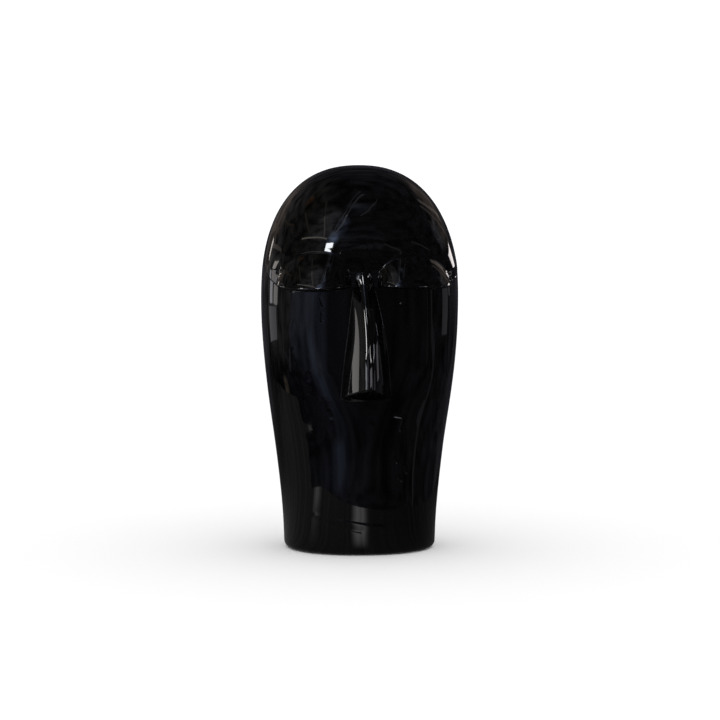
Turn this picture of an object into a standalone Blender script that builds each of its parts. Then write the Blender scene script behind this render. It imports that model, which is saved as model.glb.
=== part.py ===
"""A stylised head in gloss black, cast as one piece: a tall domed skull on a broad neck, closed lids that
overhang the cheeks like shelves, and a long tapering nose with no mouth below it.

Metres, +Z up. The face looks along -Y, and the origin is the centre of the flat underside.
The head is one skin, drawn as rows of points from the underside up to the crown. Each row is a rounded
section of the skull, pushed out where the nose and the lids stand on it. Over the lids the rows bow up
with them, so the valley above each lid runs along a row."""

import math
from collections import namedtuple

import bmesh
import bpy
from mathutils import Vector

# Overall sizes.
HEIGHT = 0.400
HEAD_WIDTH = 0.2065
BASE_WIDTH = 0.1590
BASE_ROUNDING = 0.006

# Heights of the features. They keep their places on the head when its height changes.
WIDEST_Z = 0.659 * HEIGHT
FOREHEAD_Z = 0.870 * HEIGHT
BROW_Z = 0.760 * HEIGHT
NOSE_ROOT_Z = 0.7295 * HEIGHT
LEDGE_Z = 0.684 * HEIGHT
JAW_Z = 0.480 * HEIGHT
NOSE_BASE_Z = 0.398 * HEIGHT
MOUTH_Z = 0.290 * HEIGHT
CHIN_Z = 0.150 * HEIGHT
NECK_Z = 0.075 * HEIGHT

# How far the skull reaches in front of the origin and behind it, and how far back its crown lies.
BROW_FRONT = 0.087
CHEEK_FRONT = 0.083
MOUTH_FRONT = 0.0814
CHIN_FRONT = 0.0790
NECK_FRONT = 0.0760
BASE_FRONT = 0.0745
HEAD_BACK = 0.092
BASE_BACK = 0.0700
CROWN_BACK = 0.014

# How square the outlines are: 2 is an ellipse, and more is squarer.
DOME_POWER = 2.31
FACE_POWER = 2.7
CHIN_POWER = 2.05
NECK_POWER = 2.2
BACK_POWER = 2.15

# How the sides draw in towards the neck: 1 is an even S, and less starts sooner from the widest part.
TAPER = 0.95

# The nose: a wedge with a rounded ridge that widens downwards, cut off below on a slant.
NOSE_WIDTH = 0.0505
NOSE_ROOT_WIDTH = 0.0135
NOSE_OUT = 0.034
NOSE_RIDGE_BLUNTNESS = 0.45
NOSE_WIDENING = 1.6
NOSE_BRIDGE_CURVE = 1.7
UNDERSIDE_SLOPE = 0.29
UNDERSIDE_BLEND = 0.045

# The lids: half-moon swellings, fullest just above the ledge where they end. The left one is a little
# taller and sags a little lower than the right one.
LID_INNER_X = 0.0140
LID_OUTER_X = 0.0880
LID_OUT = 0.022
LID_HEIGHT = 0.0306
LEFT_LID_RISE = 0.004
LID_LIP = 0.0029
LEFT_LID_SAG = 0.0035
RIGHT_LID_SAG = 0.0013
LID_END_POWER = 2.6
LID_SWELL_POWER = 1.2
LIP_POWER = 2.6
LID_TOP = LEDGE_Z + LID_LIP + LID_HEIGHT

# The ledge runs on past the lids as a low crease that climbs round the temples.
TEMPLE_OUT = 0.002
TEMPLE_HEIGHT = 0.040
TEMPLE_CLIMB = 0.020
TEMPLE_START = math.radians(47)
TEMPLE_FULL = math.radians(61)
TEMPLE_FADE = math.radians(63)
TEMPLE_GONE = math.radians(80)
TEMPLE_TOP = math.radians(86)
TEMPLE_END = math.radians(140)

# Columns of the skin on each side, counted from the middle of the face to the middle of the back: first
# at these shares of the nose's half width, then along the lid, round the temple and round the back.
NOSE_COLUMNS = (0.0, 0.17, 0.36, 0.56, 0.76, 0.92, 1.0, 1.08)
LID_COLUMNS = 12
TEMPLE_COLUMNS = 4
BACK_COLUMNS = 13
FRONT_COLUMNS = len(NOSE_COLUMNS) + LID_COLUMNS + TEMPLE_COLUMNS
SIDE_COLUMNS = FRONT_COLUMNS + BACK_COLUMNS
COLUMNS = 2 * SIDE_COLUMNS

# Rows of the skin in each stretch, from the underside up.
BASE_RIM = 0.005
ROUNDING_ROWS = 4
FACE_ROWS = 16
UNDERSIDE_SHARES = (0, 0.1, 0.5, 0.92, 1)
UNDERSIDE_STEP = 0.001
CHEEK_ROWS = 10
LEDGE_GAP = 0.0015
LIP_TURNS = (0, 20, 40, 60, 80)
LID_ROWS = 7
LEAST_BOW = 0.45
DOME_ROWS = 16
FAN_END = math.radians(85)
LAST_DOME_TURN = math.radians(88)
SHARP_EDGE = math.radians(50)

# The black gel coat.
GEL_COAT_COLOUR = (0.006, 0.006, 0.007, 1)
GEL_COAT_ROUGHNESS = 0.06

# One row of the skin. Inset draws it in from the skull's surface, nose_share says how far out along the
# nose's underside it lies, nose_lift how much of that underside's slant it follows, and bow how much of
# the lids' arch.
Row = namedtuple("Row", "z inset nose_share nose_lift bow", defaults=(0, 0, 0, 0))


def mix(low, high, share):
    return low + (high - low) * share


def ease(share):
    """0 to 1 with a soft start and a soft end."""
    return (1 - math.cos(math.pi * min(1.0, max(0.0, share)))) / 2


def round_off(share, power):
    """How wide a dome still is at this share of its height."""
    return max(0.0, 1 - min(1.0, share) ** power) ** (1 / power)


def spline(stations, z):
    """A smooth curve through (height, value) stations, level beyond the ends."""
    if z <= stations[0][0]:
        return stations[0][1]
    if z >= stations[-1][0]:
        return stations[-1][1]
    slopes = [0.0]
    for before, after in zip(stations, stations[2:]):
        slopes.append((after[1] - before[1]) / (after[0] - before[0]))
    slopes.append(0.0)
    above = next(i for i, station in enumerate(stations) if station[0] > z)
    (z0, v0), (z1, v1) = stations[above - 1], stations[above]
    span = z1 - z0
    t = (z - z0) / span
    return (
        v0 * (1 + 2 * t) * (1 - t) ** 2
        + v1 * t * t * (3 - 2 * t)
        + span * t * (1 - t) * (slopes[above - 1] * (1 - t) - slopes[above] * t)
    )


def half_width(z):
    if z > WIDEST_Z:
        return HEAD_WIDTH / 2 * round_off((z - WIDEST_Z) / (HEIGHT - WIDEST_Z), DOME_POWER)
    return mix(BASE_WIDTH, HEAD_WIDTH, ease((z / WIDEST_Z) ** TAPER)) / 2


def front_depth(z):
    if z > BROW_Z:
        return BROW_FRONT * round_off((z - BROW_Z) / (HEIGHT - BROW_Z), DOME_POWER)
    stations = (
        (0.0, BASE_FRONT),
        (NECK_Z, NECK_FRONT),
        (CHIN_Z, CHIN_FRONT),
        (MOUTH_Z, MOUTH_FRONT),
        (LEDGE_Z, CHEEK_FRONT),
        (BROW_Z, BROW_FRONT),
    )
    return spline(stations, z)


def back_depth(z):
    if z > WIDEST_Z:
        return HEAD_BACK * round_off((z - WIDEST_Z) / (HEIGHT - WIDEST_Z), DOME_POWER)
    return mix(BASE_BACK, HEAD_BACK, ease(z / WIDEST_Z))


def lean_back(z):
    """How far the dome has drawn back at this height."""
    return CROWN_BACK * ease((z - LEDGE_Z) / (HEIGHT - LEDGE_Z))


def front_power(z):
    stations = (
        (NECK_Z, NECK_POWER),
        (MOUTH_Z, CHIN_POWER),
        (JAW_Z, FACE_POWER),
        (LEDGE_Z, FACE_POWER),
        (HEIGHT, DOME_POWER),
    )
    return spline(stations, z)


def section(angle, z):
    """A point of the skull and its level outward direction. The angle runs from the front to the back."""
    forward = angle < math.pi / 2
    power = front_power(z) if forward else BACK_POWER
    depth = front_depth(z) if forward else back_depth(z)
    width = half_width(z)
    across, along = math.sin(angle), abs(math.cos(angle))
    facing = -1 if forward else 1
    point = Vector((width * across ** (2 / power), facing * depth * along ** (2 / power) + lean_back(z), z))
    bend = 2 - 2 / power
    outward = Vector((across**bend * depth, facing * along**bend * width, 0))
    return point, outward.normalized()


def angle_at(x, z):
    """The angle at which the front of the skull is this wide."""
    return math.asin(min(1.0, (x / half_width(z)) ** (front_power(z) / 2)))


def nose_half_width(z):
    down = min(1.0, max(0.0, (NOSE_ROOT_Z - z) / (NOSE_ROOT_Z - NOSE_BASE_Z)))
    return mix(NOSE_ROOT_WIDTH, NOSE_WIDTH, 1 - (1 - down) ** NOSE_WIDENING) / 2


def nose_reach(z):
    """How far the nose's ridge stands out at this height."""
    down = min(1.0, max(0.0, (NOSE_ROOT_Z - z) / (NOSE_ROOT_Z - NOSE_BASE_Z)))
    return NOSE_OUT * (1 - (1 - down) ** NOSE_BRIDGE_CURVE)


def nose_section(across):
    """How full the nose is at this share of its half width: a wedge with a blunt ridge."""
    if across >= 1:
        return 0.0
    blunt = NOSE_RIDGE_BLUNTNESS
    foot = math.hypot(1, blunt)
    return (foot - math.hypot(across, blunt)) / (foot - blunt)


def lid_across(x):
    """0 in the middle of a lid, 1 at its corners and more beyond them."""
    middle, half_length = (LID_INNER_X + LID_OUTER_X) / 2, (LID_OUTER_X - LID_INNER_X) / 2
    return abs(x - middle) / half_length


def lid_arch(x):
    """How much of its full height a lid still has here."""
    return math.sqrt(1 - min(1.0, lid_across(x)) ** LID_END_POWER)


def lid_height(side, x):
    """The height that a lid's arch is a share of."""
    return LID_HEIGHT + (LEFT_LID_RISE * lid_arch(x) if side < 0 else 0)


def lid_out(x, above, full_height):
    """How far a lid swells forward, at this height above the ledge."""
    arch = lid_arch(x)
    if arch == 0 or above <= 0:
        return 0.0
    if above < LID_LIP:
        return LID_OUT * arch * round_off(1 - above / LID_LIP, LIP_POWER)
    up = min(1.0, (above - LID_LIP) / (full_height * arch))
    return LID_OUT * arch * (1 - up**LID_SWELL_POWER)


def row_bow(angle):
    """How high a column's rows reach, against the middle of a lid: they keep to the lids' arches."""
    if angle < math.pi / 2:
        return max(LEAST_BOW, lid_arch(section(angle, LEDGE_Z)[0].x))
    return mix(LEAST_BOW, 1, ease((angle - math.pi / 2) / (TEMPLE_END - math.pi / 2)))


def temple_out(angle, above):
    """The crease that carries the ledge on round the temple."""
    if above <= 0:
        return 0.0
    fade_in = ease((angle - TEMPLE_START) / (TEMPLE_FULL - TEMPLE_START))
    fade_out = 1 - ease((angle - TEMPLE_FADE) / (TEMPLE_GONE - TEMPLE_FADE))
    crease = TEMPLE_OUT * fade_in * fade_out
    if above < LID_LIP:
        return crease * round_off(1 - above / LID_LIP, LIP_POWER)
    return crease * (1 - ease((above - LID_LIP) / TEMPLE_HEIGHT))


def ledge_shift(side, x, angle):
    """How far the ledge lies above or below its level: it sags under each lid and climbs at the temples."""
    if angle < TEMPLE_TOP:
        sag = (LEFT_LID_SAG if side < 0 else RIGHT_LID_SAG) * max(0.0, 1 - lid_across(x) ** 2)
        return TEMPLE_CLIMB * ease((angle - TEMPLE_START) / (TEMPLE_TOP - TEMPLE_START)) - sag
    return TEMPLE_CLIMB * (1 - ease((angle - TEMPLE_TOP) / (TEMPLE_END - TEMPLE_TOP)))


def ledge_angle(column):
    """Where a column crosses the ledge: across the nose, along a lid, round the temple or on the back."""
    if column < len(NOSE_COLUMNS):
        return angle_at(NOSE_COLUMNS[column] * nose_half_width(LEDGE_Z), LEDGE_Z)
    if column >= FRONT_COLUMNS:
        return mix(math.pi / 2, math.pi, (column - FRONT_COLUMNS) / BACK_COLUMNS)
    along_lid = column - len(NOSE_COLUMNS)
    if along_lid > LID_COLUMNS:
        outer = angle_at(LID_OUTER_X, LEDGE_Z)
        return mix(outer, math.pi / 2, (along_lid - LID_COLUMNS) / TEMPLE_COLUMNS)
    share = (1 - math.cos(math.pi * along_lid / LID_COLUMNS)) / 2
    return angle_at(mix(LID_INNER_X, LID_OUTER_X, share), LEDGE_Z)


def held_angle(column, z):
    """Where a column of the face crosses this height: along the nose, or in its place beside it."""
    if column < len(NOSE_COLUMNS):
        return angle_at(NOSE_COLUMNS[column] * nose_half_width(z), z)
    if column >= FRONT_COLUMNS or z > LEDGE_Z:
        return ledge_angle(column)
    nose_at_ledge = ledge_angle(len(NOSE_COLUMNS) - 1)
    place = (ledge_angle(column) - nose_at_ledge) / (math.pi / 2 - nose_at_ledge)
    return mix(angle_at(NOSE_COLUMNS[-1] * nose_half_width(z), z), math.pi / 2, place)


def dome_turn(z):
    """How far this height lies along the dome's arc, from its widest level up to the crown."""
    share = min(1.0, max(0.0, (z - WIDEST_Z) / (HEIGHT - WIDEST_Z)))
    return math.asin(share ** (DOME_POWER / 2))


def column_angle(column, z):
    """Where a column crosses this height: fanned out evenly on the dome and the neck, held on the face."""
    even = math.pi * column / SIDE_COLUMNS
    from_below = ease((z - CHIN_Z) / (NOSE_BASE_Z - CHIN_Z))
    fan_start = dome_turn(LID_TOP)
    from_above = 1 - ease((dome_turn(z) - fan_start) / (FAN_END - fan_start))
    return mix(even, held_angle(column, min(z, FOREHEAD_Z)), from_below * from_above)


def head_point(row, column):
    """The point where a row meets a column. Columns past the middle of the back are the left side's."""
    side = 1
    if column > SIDE_COLUMNS:
        side, column = -1, COLUMNS - column
    at_ledge = ledge_angle(column)
    ledge_x = section(at_ledge, LEDGE_Z)[0].x
    near_ledge = ease(1 - abs(row.z - LEDGE_Z) / (FOREHEAD_Z - LEDGE_Z))
    wedge = 0.0
    if column < len(NOSE_COLUMNS):
        wedge = nose_section(NOSE_COLUMNS[column])
    lift = UNDERSIDE_SLOPE * NOSE_OUT * wedge
    full_height = lid_height(side, ledge_x)
    bow = row.bow * (full_height * row_bow(at_ledge) - LID_HEIGHT)
    height = row.z + ledge_shift(side, ledge_x, at_ledge) * near_ledge + bow + lift * row.nose_lift
    point, outward = section(column_angle(column, height), height)
    point -= outward * row.inset
    if at_ledge < math.pi / 2:
        above = row.z + bow - LEDGE_Z
        forward = (outward + Vector((0, -1, 0))).normalized()
        point += forward * lid_out(ledge_x, above, full_height) + outward * temple_out(at_ledge, above)
    reach = nose_reach(height) if row.nose_share == 1 else nose_reach(NOSE_BASE_Z + lift)
    point.y -= reach * wedge * row.nose_share
    point.z = height
    return Vector((side * point.x, point.y, point.z))


def steps(low, high, count):
    """Evenly spaced values after low, ending at high."""
    return [mix(low, high, (i + 1) / count) for i in range(count)]


def head_rows():
    rounding = BASE_ROUNDING
    rows = [Row(0.0, inset=rounding + BASE_RIM), Row(0.0, inset=rounding)]
    for angle in steps(0, math.pi / 2, ROUNDING_ROWS):
        rows.append(Row(rounding * (1 - math.cos(angle)), inset=rounding * (1 - math.sin(angle))))
    for z in steps(rounding, NOSE_BASE_Z - UNDERSIDE_STEP, FACE_ROWS):
        rows.append(Row(z))
    for number, share in enumerate(UNDERSIDE_SHARES):
        rows.append(Row(NOSE_BASE_Z + UNDERSIDE_STEP * number, nose_share=share, nose_lift=share))
    rim = rows[-1].z
    for z in [rim + UNDERSIDE_STEP] + steps(rim + UNDERSIDE_STEP, LEDGE_Z - LEDGE_GAP, CHEEK_ROWS):
        rows.append(Row(z, nose_share=1, nose_lift=1 - ease((z - rim) / UNDERSIDE_BLEND)))
    for turn in LIP_TURNS:
        rows.append(Row(LEDGE_Z + LID_LIP * (1 - math.cos(math.radians(turn))), nose_share=1))
    for share in steps(0, 1, LID_ROWS):
        rows.append(Row(mix(LEDGE_Z + LID_LIP, LID_TOP, share), nose_share=1, bow=share))
    for angle in steps(dome_turn(LID_TOP), LAST_DOME_TURN, DOME_ROWS):
        z = mix(WIDEST_Z, HEIGHT, math.sin(angle) ** (2 / DOME_POWER))
        rows.append(Row(z, nose_share=1, bow=1 - ease((z - LID_TOP) / (FOREHEAD_Z - LID_TOP))))
    return rows


def gloss_black():
    material = bpy.data.materials.new("gloss_black")
    material.use_nodes = True
    shader = material.node_tree.nodes["Principled BSDF"]
    shader.inputs["Base Color"].default_value = GEL_COAT_COLOUR
    shader.inputs["Roughness"].default_value = GEL_COAT_ROUGHNESS
    shader.inputs["Metallic"].default_value = 0.0
    return material


def build_head():
    """Starts from the underside and draws its rim up, row by row, to the crown."""
    rows = head_rows()
    mesh = bmesh.new()
    column_of = mesh.verts.layers.int.new("column")
    rim = bmesh.ops.create_circle(mesh, cap_ends=True, radius=BASE_WIDTH / 2, segments=COLUMNS)["verts"]
    for column, vert in enumerate(rim):
        vert[column_of] = column
        vert.co = head_point(rows[0], column)
    edges = list(mesh.edges)
    for row in rows[1:] + [None]:
        drawn = bmesh.ops.extrude_edge_only(mesh, edges=edges)["geom"]
        edges = [part for part in drawn if isinstance(part, bmesh.types.BMEdge)]
        ring = [part for part in drawn if isinstance(part, bmesh.types.BMVert)]
        if row is None:
            bmesh.ops.pointmerge(mesh, verts=ring, merge_co=Vector((0, CROWN_BACK, HEIGHT)))
            break
        for vert in ring:
            vert.co = head_point(row, vert[column_of])
    bmesh.ops.recalc_face_normals(mesh, faces=mesh.faces)
    data = bpy.data.meshes.new("head")
    mesh.to_mesh(data)
    mesh.free()
    data.materials.append(gloss_black())
    data.shade_smooth()
    data.set_sharp_from_angle(angle=SHARP_EDGE)
    head = bpy.data.objects.new("head", data)
    bpy.context.collection.objects.link(head)
    return head


def main():
    for old in list(bpy.data.objects):
        bpy.data.objects.remove(old)
    build_head()


main()
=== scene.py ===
import math

import bpy
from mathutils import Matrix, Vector, noise


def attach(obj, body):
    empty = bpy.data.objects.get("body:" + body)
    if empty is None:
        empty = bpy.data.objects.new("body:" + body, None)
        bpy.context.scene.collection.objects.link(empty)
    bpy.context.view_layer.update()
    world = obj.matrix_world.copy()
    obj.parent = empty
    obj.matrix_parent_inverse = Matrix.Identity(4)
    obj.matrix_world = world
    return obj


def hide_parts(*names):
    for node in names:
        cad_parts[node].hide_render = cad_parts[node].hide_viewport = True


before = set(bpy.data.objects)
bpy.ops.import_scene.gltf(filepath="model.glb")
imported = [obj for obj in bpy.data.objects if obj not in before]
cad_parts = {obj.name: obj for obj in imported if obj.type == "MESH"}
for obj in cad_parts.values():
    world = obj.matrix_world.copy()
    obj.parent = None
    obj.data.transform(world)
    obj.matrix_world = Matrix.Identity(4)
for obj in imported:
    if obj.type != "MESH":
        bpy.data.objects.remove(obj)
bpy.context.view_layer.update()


def linear(hexColour):
    channels = [int(hexColour[i:i + 2], 16) / 255 for i in (1, 3, 5)]
    spread = [c / 12.92 if c <= 0.04045 else ((c + 0.055) / 1.055) ** 2.4 for c in channels]
    return (*spread, 1.0)


def addNode(tree, kind, links=None, **settings):
    # a setting that names a socket goes on that socket, the rest on the node itself
    made = tree.nodes.new(kind)
    for name, value in settings.items():
        if hasattr(made, name):
            setattr(made, name, value)
    for name, value in settings.items():
        if not hasattr(made, name):
            made.inputs[name.replace("_", " ")].default_value = value
    for name, source in (links or {}).items():
        tree.links.new(source, made.inputs[name])
    return made


def freshMaterial(name):
    made = bpy.data.materials.new(name)
    made.use_nodes = True
    made.node_tree.nodes.clear()
    return made, made.node_tree


def deselectAll():
    for o in list(bpy.context.selected_objects):
        o.select_set(False)


def makeActive(o):
    deselectAll()
    o.select_set(True)
    bpy.context.view_layer.objects.active = o


def directionTo(azimuth, elevation):
    a, e = math.radians(azimuth), math.radians(elevation)
    return Vector((math.sin(a) * math.cos(e), -math.cos(a) * math.cos(e), math.sin(e)))


# the head, cast in one piece
casting = {
    "weld": 0.00002,            # m, joins the solid's loose triangles
    "quadTurn": 60,             # degrees, the most that two triangles turn or skew where they make a quad
    "quadSkew": 75,
    "creaseAngle": 25,          # degrees, edges sharper than this stay crisp
    "creaseWeight": 0.5,
    "smoothLevels": 2,
    "slowWave": (0.062, 0.00022, 3.7),    # m between waves, m high and the pattern's seed, from sanding by hand
    "midWave": (0.027, 0.00004, 9.1),
    "footFade": (0.004, 0.02),            # m, the foot stays flat up to the first, and the waves grow over the second
}

# how far the nose's ridge and its root stand to one side, in m, and where: each place where the lean
# is nothing, with the span over which it grows to the full
noseSet = {
    "ridge": 0.0012,
    "root": -0.0018,
    "across": (0.042, -0.030),
    "forward": (-0.02, -0.03),
    "aboveTip": (0.150, 0.030),
    "belowBrow": (0.325, -0.035),
    "towardsRoot": (0.215, 0.070),
}

# dents and runs left in the skin: the places they pass through on the front (x, z), half width, and depth,
# all in m, less than nothing for a raised run
skinMarks = {
    "cheekPit": ([(0.037, 0.259)], 0.0018, 0.00065),
    "chinPit": ([(0.007, 0.139)], 0.0018, 0.00065),
    "chinNick": ([(0.030, 0.1435), (0.0395, 0.1415), (0.0355, 0.129)], 0.0012, 0.00045),
    "leftNick": ([(-0.037, 0.148), (-0.035, 0.143)], 0.0014, 0.00040),
    "jawNickHigh": ([(0.0305, 0.099), (0.0325, 0.096)], 0.0014, 0.00045),
    "jawNickMiddle": ([(0.041, 0.089), (0.0425, 0.085)], 0.0013, 0.00045),
    "jawNickLow": ([(0.034, 0.080), (0.0375, 0.077)], 0.0013, 0.00045),
    "leftRun": ([(-0.0735, 0.268), (-0.0755, 0.256), (-0.0742, 0.243), (-0.0768, 0.229), (-0.0748, 0.214)],
                0.0020, -0.00016),
    "rightRun": ([(0.0755, 0.158), (0.0775, 0.147), (0.0758, 0.137), (0.0785, 0.124), (0.0765, 0.106)],
                 0.0018, -0.00016),
    "cheekDripHigh": ([(-0.0455, 0.263), (-0.0435, 0.257)], 0.0016, 0.00016),
    "cheekDripLow": ([(-0.044, 0.248), (-0.0445, 0.241)], 0.0016, 0.00016),
    "jawSpotHigh": ([(-0.058, 0.186), (-0.0575, 0.181)], 0.0016, 0.00018),
    "jawSpotLow": ([(-0.0565, 0.171), (-0.0575, 0.167)], 0.0016, 0.00018),
    "neckRunHigh": ([(-0.050, 0.0405), (-0.034, 0.0365), (-0.016, 0.0335), (0.004, 0.0300), (0.016, 0.0295)],
                    0.0024, -0.00024),
    "neckRunLow": ([(-0.040, 0.0335), (-0.022, 0.0285), (-0.004, 0.0250)], 0.0020, 0.00020),
}

# faces that look forward more than this take the marks, and are cut finer this far out from a mark
markFaces = {
    "forward": -0.2,
    "margin": 0.003,            # m
    "widths": 2.2,
    "fadedOut": 3,              # half widths from a mark, where nothing of it is left
    "cuts": 2,
}


def castHead():
    head = bpy.data.objects.new("headCasting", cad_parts["head"].data.copy())
    bpy.context.scene.collection.objects.link(head)
    makeActive(head)
    bpy.ops.mesh.customdata_custom_splitnormals_clear()
    bpy.ops.object.mode_set(mode="EDIT")
    bpy.ops.mesh.select_mode(type="EDGE")
    bpy.ops.mesh.select_all(action="SELECT")
    bpy.ops.mesh.remove_doubles(threshold=casting["weld"])
    bpy.ops.mesh.tris_convert_to_quads(face_threshold=math.radians(casting["quadTurn"]),
                                       shape_threshold=math.radians(casting["quadSkew"]))
    bpy.ops.mesh.select_all(action="DESELECT")
    bpy.ops.mesh.edges_select_sharp(sharpness=math.radians(casting["creaseAngle"]))
    bpy.ops.transform.edge_crease(value=casting["creaseWeight"])
    bpy.ops.object.mode_set(mode="OBJECT")
    finer = head.modifiers.new("finer", "SUBSURF")
    finer.levels = finer.render_levels = casting["smoothLevels"]
    bpy.ops.object.modifier_apply(modifier=finer.name)
    bpy.ops.object.shade_smooth()
    return head


def waveAt(point, length, height, seed):
    return height * noise.noise(point / length + Vector((seed, 2 * seed, 3 * seed)))


def ease(share):
    share = min(1.0, max(0.0, share))
    return share * share * (3 - 2 * share)


def grown(value, start, span):
    return ease((value - start) / span)


def awayFrom(place, run):
    # how far a place on the front lies from a mark's run
    here = Vector(place)
    if len(run) == 1:
        return (here - Vector(run[0])).length
    nearest = []
    for start, end in zip(run, run[1:]):
        start, end = Vector(start), Vector(end)
        along = min(1.0, max(0.0, (here - start).dot(end - start) / (end - start).length_squared))
        nearest.append((here - start.lerp(end, along)).length)
    return min(nearest)


def marksNear(p, reach):
    # the marks whose run passes close enough to this place to matter
    found = []
    for run, width, depth in skinMarks.values():
        edge = markFaces["fadedOut"] * width + reach
        if min(x for x, z in run) - edge < p.x < max(x for x, z in run) + edge:
            if min(z for x, z in run) - edge < p.z < max(z for x, z in run) + edge:
                found.append((run, width, depth))
    return found


def finerAtMarks(head):
    # small faces where the marks go
    makeActive(head)
    bpy.ops.object.mode_set(mode="EDIT")
    bpy.ops.mesh.select_mode(type="FACE")
    bpy.ops.mesh.select_all(action="DESELECT")
    bpy.ops.object.mode_set(mode="OBJECT")
    for face in head.data.polygons:
        middle = face.center
        if face.normal.y < markFaces["forward"] and middle.y < 0:
            for run, width, depth in marksNear(middle, markFaces["margin"]):
                if awayFrom((middle.x, middle.z), run) < markFaces["widths"] * width + markFaces["margin"]:
                    face.select = True
    bpy.ops.object.mode_set(mode="EDIT")
    bpy.ops.mesh.subdivide(number_cuts=markFaces["cuts"], smoothness=1.0)
    bpy.ops.mesh.select_all(action="DESELECT")
    bpy.ops.object.mode_set(mode="OBJECT")


def markDepth(p):
    deep = 0.0
    for run, width, depth in marksNear(p, 0.0):
        away = awayFrom((p.x, p.z), run)
        deep += depth * math.exp(-(away / width) ** 2)
    return deep


def noseLean(p):
    # the nose was set by hand and isn't quite straight
    near = grown(abs(p.x), *noseSet["across"]) * grown(p.y, *noseSet["forward"])
    high = grown(p.z, *noseSet["towardsRoot"])
    ends = grown(p.z, *noseSet["aboveTip"]) * grown(p.z, *noseSet["belowBrow"])
    return near * ends * (noseSet["ridge"] + (noseSet["root"] - noseSet["ridge"]) * high)


def handWork(head):
    # slow unevenness that a mirror finish shows in its reflections
    mesh = head.data
    flat, fadeOver = casting["footFade"]
    normals = [v.normal.copy() for v in mesh.vertices]
    for v, normal in zip(mesh.vertices, normals):
        p = v.co.copy()
        move = waveAt(p, *casting["slowWave"]) + waveAt(p, *casting["midWave"])
        fade = min(1.0, max(0.0, p.z - flat) / fadeOver)
        if normal.y < markFaces["forward"] and p.y < 0:
            move -= markDepth(p)
        v.co = p + normal * move * fade + Vector((noseLean(p), 0, 0))
    mesh.update()


headPiece = castHead()
finerAtMarks(headPiece)
handWork(headPiece)
print("head cast:", len(headPiece.data.polygons), "faces")


# gel coat over cast resin, a thick black skin, wet sanded and buffed: the eye gets a deep black that shows the
# room as sharply as glass does, a little duller in patches where the buffing was uneven
gelCoat = {
    "black": "#010102",
    "warmBlack": "#020201",
    "patchSize": 0.05,          # m
    "patchSpread": (0.35, 0.75),     # the share of the noise where the dull patches begin and are fullest
    "roughness": 0.022,
    "haze": 0.05,
    "ior": 1.5,
    "peelSpacing": 0.0026,      # m, faint orange peel
    "peelHeight": 0.000004,     # m
}


def gelCoatFinish():
    finish, tree = freshMaterial("blackGelCoat")
    place = addNode(tree, "ShaderNodeTexCoord")
    cloud = addNode(tree, "ShaderNodeTexNoise", {"Vector": place.outputs["Object"]},
                    Scale=1 / gelCoat["patchSize"], Detail=3.0, Roughness=0.5)
    tint = addNode(tree, "ShaderNodeMix", {"Factor": cloud.outputs["Fac"]}, data_type="RGBA")
    tint.inputs["A"].default_value = linear(gelCoat["black"])
    tint.inputs["B"].default_value = linear(gelCoat["warmBlack"])
    begin, fullest = gelCoat["patchSpread"]
    rough = addNode(tree, "ShaderNodeMapRange", {"Value": cloud.outputs["Fac"]}, From_Min=begin, From_Max=fullest,
                    To_Min=gelCoat["roughness"], To_Max=gelCoat["haze"])
    peel = addNode(tree, "ShaderNodeTexNoise", {"Vector": place.outputs["Object"]},
                   Scale=1 / gelCoat["peelSpacing"], Detail=2.0, Roughness=0.4)
    bump = addNode(tree, "ShaderNodeBump", {"Height": peel.outputs["Fac"]},
                   Strength=1.0, Distance=gelCoat["peelHeight"])
    skin = addNode(tree, "ShaderNodeBsdfPrincipled",
                   {"Base Color": tint.outputs["Result"], "Roughness": rough.outputs["Result"],
                    "Normal": bump.outputs["Normal"]}, IOR=gelCoat["ior"])
    addNode(tree, "ShaderNodeOutputMaterial", {"Surface": skin.outputs["BSDF"]})
    return finish


headPiece.data.materials.clear()
headPiece.data.materials.append(gelCoatFinish())
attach(headPiece, "root")
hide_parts("head")
print("gel coat on")


# the studio: a pale floor and dome, and a dim room with windows and a table that only the gloss sees
studio = {
    "floorColour": "#f6f6f6",
    "floorDepth": 0.0004,       # m below the foot
    "domeColour": "#ffffff",
    "domeStrength": 1.14,
    "radius": 5.0,              # m
    "domeGap": 0.2,             # m, from the floor's rim to the dome
    "middle": (0, 0, 0.2),      # m, what the lamps, windows and edges stand round
    "edgeDistance": 3.2,        # m
    "edgeSteps": 6,             # from one given direction of an edge to the next
}

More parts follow.
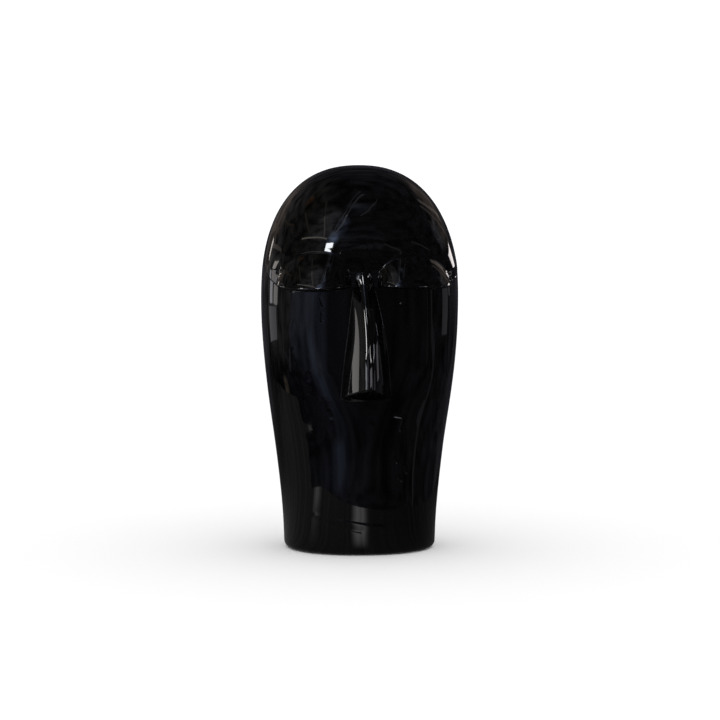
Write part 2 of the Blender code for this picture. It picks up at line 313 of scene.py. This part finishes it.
# what the gloss sees all round, in degrees: azimuth, elevation, half widths of the glow each way,
# radiance, tint, and how much of the half width is evenly bright
roomGlows = {
    "rightWall": (90, 25, 175, 120, 0.040, "#eaeaff", 0.6),
    "leftWall": (-92, 40, 80, 58, 0.066, "#f8f0ea", 0.45),
    "leftLow": (-88, 4, 84, 20, 0.095, "#f6f4f6", 0.4),
    "wallByWindow": (-34, 46, 32, 26, 0.20, "#f0f2ff", 0.2),
    "veilFoot": (-19, 33, 9, 9, 1.3, "#b9cfff", 0.1),
    "veil": (-12, 44, 9, 14, 0.50, "#bcd0ff", 0.2),
    "veilTop": (0, 63, 20, 10, 0.16, "#d8e2ff", 0.2),
    "besideWindow": (2, 31, 18, 15, 0.085, "#dfe6ff", 0.3),
    "belowWindow": (-32, 12, 20, 16, 0.36, "#e2e8ff", 0.2),
    "cheekLight": (-28, -4, 16, 7, 0.26, "#c8d6ff", 0.2),
    "chinLight": (-26, -10.5, 16, 3.5, 0.13, "#b4c8ff", 0.2),
    "cheekLow": (-50, -5, 30, 8, 0.08, "#b4c8ff", 0.2),
    "floorSheen": (-45, -15, 75, 16, 0.055, "#ccd2f4", 0.4),
    "rightCorner": (110, 25, 14, 10, 0.20, "#f4f0ff", 0.3),
    "leftRear": (-152, 15, 28, 20, 0.12, "#ecd2bc", 0.3),
    "rightRear": (138, 26, 28, 22, 0.11, "#ecd2bc", 0.3),
    "ochreSpot": (-111, 54, 9, 5, 0.32, "#c07a3c", 0.5),
    "beigeSpot": (-91, -17.5, 7, 3.5, 0.32, "#ecd8bc", 0.4),
}
# uneven things in the room break the glows up
clutter = {"size": 0.19, "flatter": 3.0, "detail": 2.5, "roughness": 0.45, "spread": (0.32, 0.68),
           "least": 0.30, "most": 1.9}

# lamps and windows: azimuth, elevation, distance and size in m, radiance, tint
panels = {
    "windowCore": (-21, 28.8, 2.6, 0.31, 0.17, 24.0, "#f8fbff"),
    "farWindow": (-50, 20, 2.6, 0.24, 0.32, 20.0, "#ffffff"),
    "farWindowFoot": (-46, 10, 2.6, 0.90, 0.34, 4.0, "#f0f4ff"),
    "nearWindow": (-10, 20.5, 2.6, 0.30, 0.05, 6.0, "#f4f4ff"),
    "frontLamp": (46, 16.5, 2.6, 0.26, 0.20, 8.0, "#fffcff"),
    "frontLampFoot": (41, 8.5, 2.6, 0.70, 0.34, 2.0, "#f0f0ff"),
    "leftLamp": (-109, 14, 2.6, 0.40, 0.14, 3.0, "#fff8f4"),
    "rightLamp": (90, 9, 2.6, 0.14, 0.16, 6.0, "#f0f2ff"),
    "leftPaneRear": (-119.5, 4.0, 2.4, 0.38, 0.40, 2.0, "#f8f8ff"),
    "leftPaneFront": (-106.5, 4.6, 2.4, 0.46, 0.46, 1.8, "#fffaf8"),
    "leftSill": (-117, -3.6, 2.4, 0.86, 0.20, 0.72, "#f6f6ff"),
    "rightPane": (90, -0.5, 2.4, 0.62, 0.40, 0.34, "#f4f4ff"),
    "lowLeft": (-50, 4.2, 2.4, 0.80, 0.24, 1.2, "#f2f4ff"),
    "lowRight": (54, 3.5, 2.4, 0.60, 0.22, 0.45, "#f2f4ff"),
    "rightRearPane": (108, 3.5, 2.4, 0.30, 0.28, 0.60, "#fff8ff"),
    "rightRearWindow": (128, 11.5, 2.6, 0.62, 0.22, 5.5, "#fff8f6"),
    "leftRearWindow": (-141, 13, 2.6, 0.18, 0.22, 3.0, "#fff8f0"),
}

# bright edges of the room, each a run of directions in degrees, with its width in degrees and radiance
roomEdges = {
    "ceilingEdge": ([(-66, 34.5), (-50, 36.3), (-36, 36.3), (-26, 34.5)], 1.3, 1.5, "#fff6ea"),
    "risingEdge": ([(-24, 35), (-17, 40), (-12, 46), (-9.5, 56)], 1.1, 0.9, "#eef2ff"),
    "risingTop": ([(-9.5, 56), (-3, 66), (24, 80)], 1.0, 0.30, "#eef2ff"),
    "secondRise": ([(-20, 41), (-17, 50), (-12, 59)], 0.9, 0.45, "#f4f4ff"),
    "secondTop": ([(-12, 59), (-7, 72), (30, 84)], 0.9, 0.20, "#f4f4ff"),
    "wallCorner": ([(-31, 37), (-33, 42), (-46, 55)], 1.3, 0.7, "#fff8f0"),
    "wallCornerTop": ([(-46, 55), (-72, 67)], 1.1, 0.22, "#fff8f0"),
    "wallCornerShade": ([(-27, 40), (-40, 57)], 1.0, 0.3, "#fff8f0"),
    "leftFrame": ([(-93, 50), (-68, 45), (-56, 40)], 1.2, 0.22, "#fff4ea"),
    "rightWave": ([(5, 54), (9, 58), (17, 65), (38, 72)], 0.8, 0.24, "#f4f4ff"),
    "rightTrim": ([(45, 30), (57, 27.5), (71, 23)], 1.3, 0.20, "#f4f4ff"),
    "middleTrim": ([(12, 27), (19, 24), (27, 22)], 1.0, 0.25, "#f4f4ff"),
    "rearLeftBeam": ([(-158, 11), (-146, 17), (-134, 21)], 2.4, 0.22, "#f0dccc"),
    "rearLeftEdge": ([(-144, 13), (-133, 16), (-122, 19), (-106, 20)], 1.4, 0.38, "#f8ece4"),
    "rearLeftUpper": ([(-131, 27), (-115, 33), (-98, 38)], 1.5, 0.16, "#f0dccc"),
    "rearRightBeam": ([(120, 43), (129, 32), (144, 17)], 2.6, 0.42, "#f4e4dc"),
    "rearRightSecond": ([(112, 43), (122, 30), (136, 16)], 1.8, 0.28, "#f4e4dc"),
    "rearRightThird": ([(103, 36), (113, 26), (128, 17)], 1.5, 0.16, "#f4e4dc"),
    "rightDoorEdge": ([(59, 1), (60, -4), (69, -8), (73, -14), (72, -20), (60, -22)], 2.6, 0.16, "#f0f0ff"),
    "rightDoorInner": ([(52, 0), (53, -5), (58, -9)], 1.6, 0.10, "#f0f0ff"),
    "leftDoorEdge": ([(-70, 1), (-67, -3), (-69, -8), (-74, -13)], 2.4, 0.24, "#f0f2ff"),
    "leftDoorInner": ([(-84, 0), (-82, -5), (-84, -9)], 2.0, 0.24, "#f0f2ff"),
}

# the tabletop it stands on, as the gloss sees it, a glowing sheet with painted light on it: its edge runs through
# these places, in m
tabletop = {
    "edge": [(-0.80, 0.70), (-0.70, 0.30), (-0.61, 0.06), (-0.55, -0.08), (-0.50, -0.175), (-0.463, -0.195),
             (-0.43, -0.178), (-0.407, -0.155), (-0.39, -0.185), (-0.372, -0.235), (-0.35, -0.27), (-0.31, -0.292),
             (-0.25, -0.302), (-0.19, -0.295), (-0.12, -0.268), (-0.07, -0.25), (0.0, -0.222), (0.08, -0.205),
             (0.18, -0.175), (0.25, -0.11), (0.30, -0.02), (0.33, 0.12), (0.345, 0.30), (0.35, 0.70)],
    "depth": 0.0002,                 # m below the foot
    "tint": "#fffafb",
    "leftRadiance": 0.125,
    "rightRadiance": 0.05,
    "leftToRight": (-0.22, 0.18),    # m, where the brighter painted light on the left turns into the dimmer on the right
    "backwards": (0.02, 0.40),       # m, where the painted light grows dark towards the back, a painted shade
    "backShare": 0.25,
    # painted pools of light on the wood, running outwards: azimuth, half width, where it starts and is fullest in m,
    # radiance
    "streaks": {"fromWindow": (-2.5, 9, 0.09, 0.16, 1.15), "fromLamp": (-57, 8, 0.10, 0.38, 0.60)},
    "paintedStreakiness": 14.0,                   # waves of painted streaks in the glow to a radian round the head
    "paintedStreakSpread": (0.3, 0.7),
    "paintedStreakShares": (0.7, 1.35),
}


def onlyInGloss(o):
    o.visible_camera = False
    o.visible_diffuse = False
    o.visible_transmission = False
    o.visible_volume_scatter = False
    o.visible_shadow = False


def finishPiece(o, finish):
    o.data.materials.clear()
    o.data.materials.append(finish)


def settle(o):
    makeActive(o)
    bpy.ops.object.transform_apply(location=True, rotation=True, scale=True)


def glowFinish(name, tint, radiance):
    finish, tree = freshMaterial(name + "Light")
    glow = addNode(tree, "ShaderNodeEmission", Color=linear(tint), Strength=radiance)
    addNode(tree, "ShaderNodeOutputMaterial", {"Surface": glow.outputs["Emission"]})
    return finish


def paleFloor():
    deselectAll()
    bpy.ops.mesh.primitive_circle_add(vertices=96, radius=studio["radius"], fill_type="NGON",
                                      location=(0, 0, -studio["floorDepth"]))
    floor = bpy.context.active_object
    floor.name = "paleFloor"
    settle(floor)
    finish, tree = freshMaterial("paleFloorPaint")
    skin = addNode(tree, "ShaderNodeBsdfPrincipled", Base_Color=linear(studio["floorColour"]), Roughness=0.9,
                   Specular_IOR_Level=0.0)
    addNode(tree, "ShaderNodeOutputMaterial", {"Surface": skin.outputs["BSDF"]})
    finishPiece(floor, finish)
    floor.visible_glossy = False


def paleDome():
    deselectAll()
    bpy.ops.mesh.primitive_uv_sphere_add(segments=64, ring_count=32, radius=studio["radius"] + studio["domeGap"],
                                         location=(0, 0, 0))
    dome = bpy.context.active_object
    dome.name = "paleDome"
    bpy.ops.object.shade_smooth()
    finishPiece(dome, glowFinish("paleDome", studio["domeColour"], studio["domeStrength"]))
    dome.visible_glossy = False


def azimuthOf(tree, parts):
    toFront = addNode(tree, "ShaderNodeMath", {0: parts.outputs["Y"]}, operation="MULTIPLY")
    toFront.inputs[1].default_value = -1.0
    return addNode(tree, "ShaderNodeMath", {0: parts.outputs["X"], 1: toFront.outputs["Value"]}, operation="ARCTAN2")


def turnFrom(tree, azimuth, centre):
    # how far round from the centre, in radians either way
    across = addNode(tree, "ShaderNodeMath", {0: azimuth.outputs["Value"]}, operation="SUBTRACT")
    across.inputs[1].default_value = math.radians(centre)
    turned = addNode(tree, "ShaderNodeMath", {0: across.outputs["Value"]}, operation="WRAP")
    turned.inputs[1].default_value = math.pi
    turned.inputs[2].default_value = -math.pi
    return turned


def dimRoom():
    world = bpy.data.worlds.new("dimRoom")
    bpy.context.scene.world = world
    world.use_nodes = True
    tree = world.node_tree
    tree.nodes.clear()
    place = addNode(tree, "ShaderNodeTexCoord")
    parts = addNode(tree, "ShaderNodeSeparateXYZ", {"Vector": place.outputs["Generated"]})
    azimuth = azimuthOf(tree, parts)
    elevation = addNode(tree, "ShaderNodeMath", {0: parts.outputs["Z"]}, operation="ARCSINE")
    total = None
    for glowAz, glowEl, halfAz, halfEl, radiance, tint, even in roomGlows.values():
        turned = turnFrom(tree, azimuth, glowAz)
        sideways = addNode(tree, "ShaderNodeMapRange", {"Value": turned.outputs["Value"]}, clamp=False,
                           From_Min=0.0, From_Max=math.radians(halfAz), To_Min=0.0, To_Max=1.0)
        upwards = addNode(tree, "ShaderNodeMapRange", {"Value": elevation.outputs["Value"]}, clamp=False,
                          From_Min=math.radians(glowEl), From_Max=math.radians(glowEl + halfEl),
                          To_Min=0.0, To_Max=1.0)
        offset = addNode(tree, "ShaderNodeCombineXYZ",
                         {"X": sideways.outputs["Result"], "Y": upwards.outputs["Result"]})
        far = addNode(tree, "ShaderNodeVectorMath", {0: offset.outputs["Vector"]}, operation="LENGTH")
        fade = addNode(tree, "ShaderNodeMapRange", {"Value": far.outputs["Value"]}, interpolation_type="SMOOTHSTEP",
                       From_Min=1.0, From_Max=even, To_Min=0.0, To_Max=radiance)
        tinted = addNode(tree, "ShaderNodeVectorMath", {"Scale": fade.outputs["Result"]}, operation="SCALE")
        tinted.inputs[0].default_value = linear(tint)[:3]
        if total is not None:
            tinted = addNode(tree, "ShaderNodeVectorMath", {0: tinted.outputs["Vector"], 1: total}, operation="ADD")
        total = tinted.outputs["Vector"]
    flatter = addNode(tree, "ShaderNodeMapping", {"Vector": place.outputs["Generated"]},
                      Scale=(1.0, 1.0, clutter["flatter"]))
    uneven = addNode(tree, "ShaderNodeTexNoise", {"Vector": flatter.outputs["Vector"]},
                     Scale=1 / clutter["size"], Detail=clutter["detail"], Roughness=clutter["roughness"])
    low, high = clutter["spread"]
    share = addNode(tree, "ShaderNodeMapRange", {"Value": uneven.outputs["Fac"]}, From_Min=low, From_Max=high,
                    To_Min=clutter["least"], To_Max=clutter["most"])
    light = addNode(tree, "ShaderNodeBackground", {"Color": total, "Strength": share.outputs["Result"]})
    addNode(tree, "ShaderNodeOutputWorld", {"Surface": light.outputs["Background"]})


def glowingPanel(name, azimuth, elevation, distance, width, height, radiance, tint):
    out = directionTo(azimuth, elevation)
    deselectAll()
    bpy.ops.mesh.primitive_plane_add(size=1.0, location=(0, 0, 0))
    panel = bpy.context.active_object
    panel.name = name
    panel.scale = (width, height, 1)
    panel.rotation_mode = "QUATERNION"
    panel.rotation_quaternion = out.to_track_quat("Z", "Y")
    panel.location = Vector(studio["middle"]) + out * distance
    settle(panel)
    finishPiece(panel, glowFinish(name, tint, radiance))
    onlyInGloss(panel)


def glowingEdge(name, run, width, radiance, tint):
    # a ribbon bent along the run of directions, on a wide ball round the head
    middle, steps = Vector(studio["middle"]), studio["edgeSteps"]
    along = [directionTo(*place) for place in run]
    path = []
    for start, end in zip(along, along[1:]):
        path += [start.slerp(end, step / steps) for step in range(steps)]
    path.append(along[-1])
    deselectAll()
    bpy.ops.mesh.primitive_grid_add(x_subdivisions=len(path) - 1, y_subdivisions=1, size=1.0, location=(0, 0, 0))
    ribbon = bpy.context.active_object
    ribbon.name = name
    columns = sorted({round(v.co.x, 5) for v in ribbon.data.vertices})
    for v in ribbon.data.vertices:
        number = columns.index(round(v.co.x, 5))
        onward = path[min(number + 1, len(path) - 1)] - path[max(number - 1, 0)]
        aside = path[number].cross(onward).normalized() * math.radians(width) / 2
        v.co = middle + (path[number] + (aside if v.co.y > 0 else -aside)) * studio["edgeDistance"]
    finishPiece(ribbon, glowFinish(name, tint, radiance))
    onlyInGloss(ribbon)


# the tabletop glows with painted light: pools from the window and the lamp, brighter on the left, darker towards the
# back
def tableInGloss():
    deselectAll()
    edge = tabletop["edge"]
    bpy.ops.mesh.primitive_circle_add(vertices=len(edge), radius=0.5, fill_type="NGON", location=(0, 0, 0))
    top = bpy.context.active_object
    top.name = "tableInGloss"
    for v, (x, y) in zip(top.data.vertices, edge):
        v.co = (x, y, -tabletop["depth"])
    finish, tree = freshMaterial("tabletopGlow")
    place = addNode(tree, "ShaderNodeTexCoord")
    parts = addNode(tree, "ShaderNodeSeparateXYZ", {"Vector": place.outputs["Object"]})
    begin, end = tabletop["leftToRight"]
    total = addNode(tree, "ShaderNodeMapRange", {"Value": parts.outputs["X"]}, interpolation_type="SMOOTHSTEP",
                    From_Min=begin, From_Max=end,
                    To_Min=tabletop["leftRadiance"], To_Max=tabletop["rightRadiance"]).outputs["Result"]
    azimuth = azimuthOf(tree, parts)
    far = addNode(tree, "ShaderNodeVectorMath", {0: place.outputs["Object"]}, operation="LENGTH")
    # painted pools of light from the window and the lamp, running outwards from the head
    for centre, halfWidth, start, fullest, radiance in tabletop["streaks"].values():
        turned = turnFrom(tree, azimuth, centre)
        off = addNode(tree, "ShaderNodeMath", {0: turned.outputs["Value"]}, operation="ABSOLUTE")
        across = addNode(tree, "ShaderNodeMapRange", {"Value": off.outputs["Value"]}, interpolation_type="SMOOTHSTEP",
                         From_Min=math.radians(halfWidth), From_Max=0.0, To_Min=0.0, To_Max=radiance)
        outward = addNode(tree, "ShaderNodeMapRange", {"Value": far.outputs["Value"]}, interpolation_type="SMOOTHSTEP",
                          From_Min=start, From_Max=fullest, To_Min=0.0, To_Max=1.0)
        total = addNode(tree, "ShaderNodeMath", {0: across.outputs["Result"], 1: outward.outputs["Result"], 2: total},
                        operation="MULTIPLY_ADD").outputs["Value"]
    # painted shade: the glow grows darker towards the back
    begin, end = tabletop["backwards"]
    backwards = addNode(tree, "ShaderNodeMapRange", {"Value": parts.outputs["Y"]}, interpolation_type="SMOOTHSTEP",
                        From_Min=begin, From_Max=end, To_Min=1.0, To_Max=tabletop["backShare"])
    total = addNode(tree, "ShaderNodeMath", {0: total, 1: backwards.outputs["Result"]},
                    operation="MULTIPLY").outputs["Value"]
    # painted streaks in the tabletop's painted light that run outwards from the head, as the gloss draws them
    paintedStreakiness = addNode(tree, "ShaderNodeTexNoise", {"W": azimuth.outputs["Value"]}, noise_dimensions="1D",
                    Scale=tabletop["paintedStreakiness"], Detail=4.0, Roughness=0.6)
    low, high = tabletop["paintedStreakSpread"]
    least, most = tabletop["paintedStreakShares"]
    share = addNode(tree, "ShaderNodeMapRange", {"Value": paintedStreakiness.outputs["Fac"]}, From_Min=low, From_Max=high,
                    To_Min=least, To_Max=most)
    # the painted light of the tabletop, broken into painted streaks
    shown = addNode(tree, "ShaderNodeMath", {0: total, 1: share.outputs["Result"]}, operation="MULTIPLY")
    glow = addNode(tree, "ShaderNodeEmission", {"Strength": shown.outputs["Value"]}, Color=linear(tabletop["tint"]))
    addNode(tree, "ShaderNodeOutputMaterial", {"Surface": glow.outputs["Emission"]})
    finishPiece(top, finish)
    onlyInGloss(top)


paleFloor()
paleDome()
dimRoom()
for panelName, settings in panels.items():
    glowingPanel(panelName, *settings)
for edgeName, settings in roomEdges.items():
    glowingEdge(edgeName, *settings)
tableInGloss()
print("studio set")


# the photograph's view
camera = {
    "azimuth": -4.5,            # degrees
    "elevation": 3.8,
    "distance": 2.2,            # m
    "frameWidth": 0.7566,       # m across the picture at the head
    "aim": (0.0007, 0.0, 0.1955),
}


def placeCamera():
    back = directionTo(camera["azimuth"], camera["elevation"])
    lens = bpy.data.cameras.new("photoCamera")
    lens.lens = lens.sensor_width * camera["distance"] / camera["frameWidth"]
    eye = bpy.data.objects.new("photoCamera", lens)
    bpy.context.scene.collection.objects.link(eye)
    eye.rotation_mode = "QUATERNION"
    eye.rotation_quaternion = (-back).to_track_quat("-Z", "Y")
    eye.location = Vector(camera["aim"]) + back * camera["distance"]
    bpy.context.scene.camera = eye
    bpy.context.scene.view_settings.view_transform = "Standard"


placeCamera()
bpy.context.view_layer.update()
print("camera placed")
